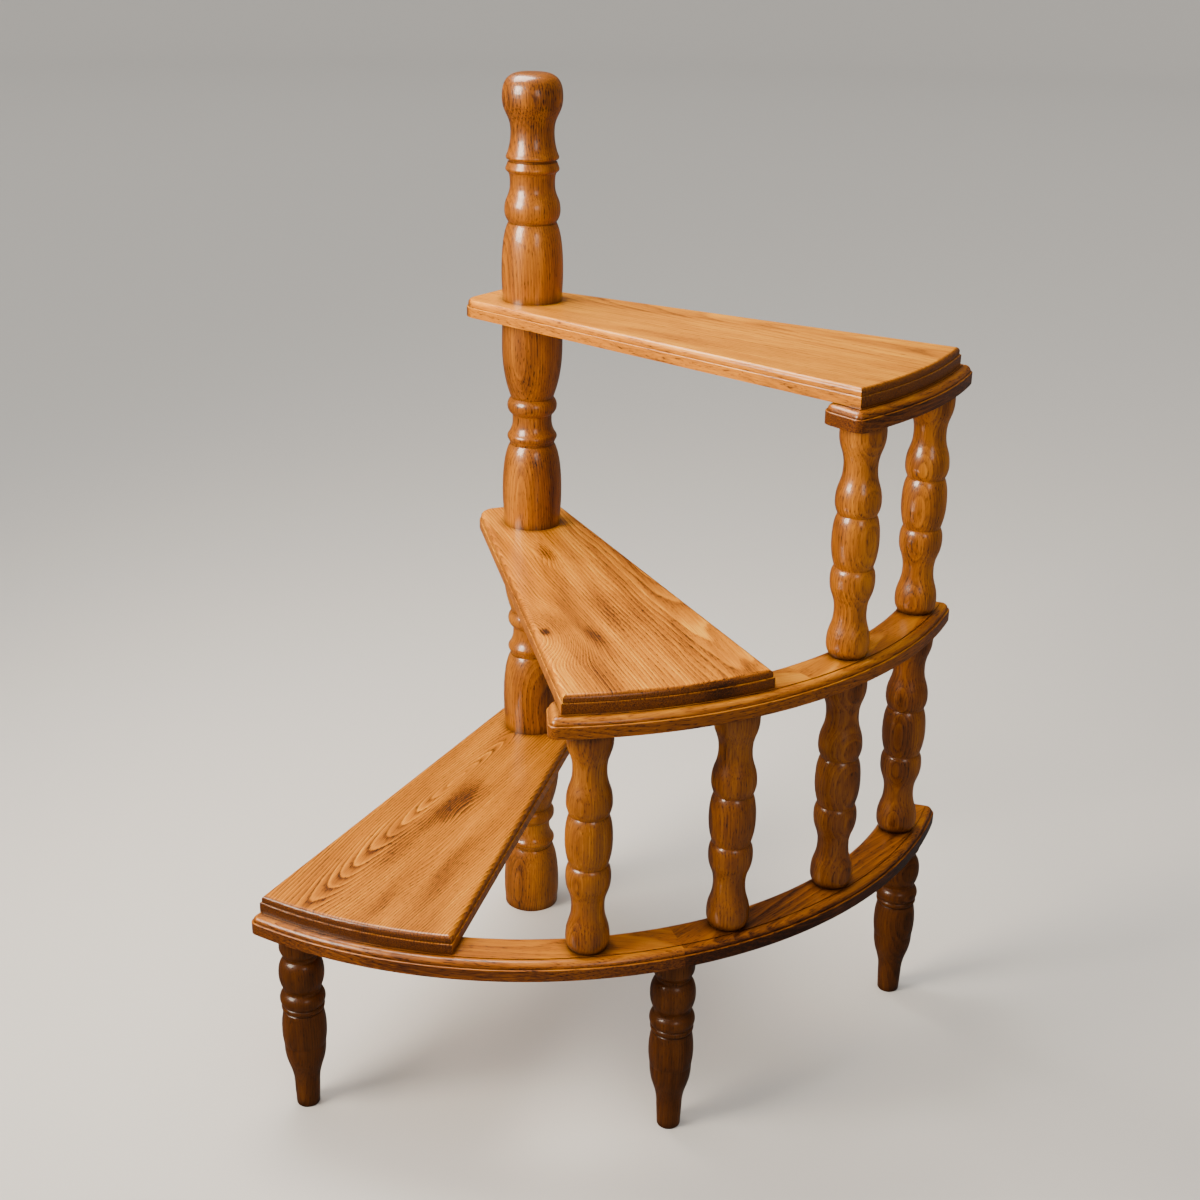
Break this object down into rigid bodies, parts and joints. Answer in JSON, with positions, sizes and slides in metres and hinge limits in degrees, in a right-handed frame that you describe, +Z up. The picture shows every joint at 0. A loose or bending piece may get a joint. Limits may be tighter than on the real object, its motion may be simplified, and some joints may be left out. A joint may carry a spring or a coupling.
{
  "type": "spiral library steps",
  "caption": "Short wooden library steps whose wedge treads wind round a turned central post with a knobbed hand grip, carried at the outside by curved rails on turned spindles and legs.",
  "frame": {"origin": "centre of the post's foot on the floor", "axes": "+Z up along the post, -Y towards the side where the climber starts, +X to that climber's right; the treads rise anticlockwise seen from above"},
  "size_m": [0.7095, 0.5399, 0.9678],
  "materials": {
    "tread_wood": "satin",
    "rail_wood": "satin",
    "post_wood": "satin",
    "spindle_wood": "satin",
    "leg_wood": "satin"
  },
  "bodies": {
    "root": {"post_foot_section": "post_wood", "post_lower_section": "post_wood", "post_upper_section": "post_wood", "post_handle": "post_wood", "tread_1": "tread_wood", "tread_2": "tread_wood", "tread_3": "tread_wood", "bottom_rail_left": "rail_wood", "bottom_rail_right": "rail_wood", "middle_rail_left": "rail_wood", "middle_rail_right": "rail_wood", "top_rail": "rail_wood", "lower_spindle_1": "spindle_wood", "lower_spindle_2": "spindle_wood", "lower_spindle_3": "spindle_wood", "lower_spindle_4": "spindle_wood", "upper_spindle_1": "spindle_wood", "upper_spindle_2": "spindle_wood", "leg_left": "leg_wood", "leg_middle": "leg_wood", "leg_right": "leg_wood"}
  },
  "joints": []
}
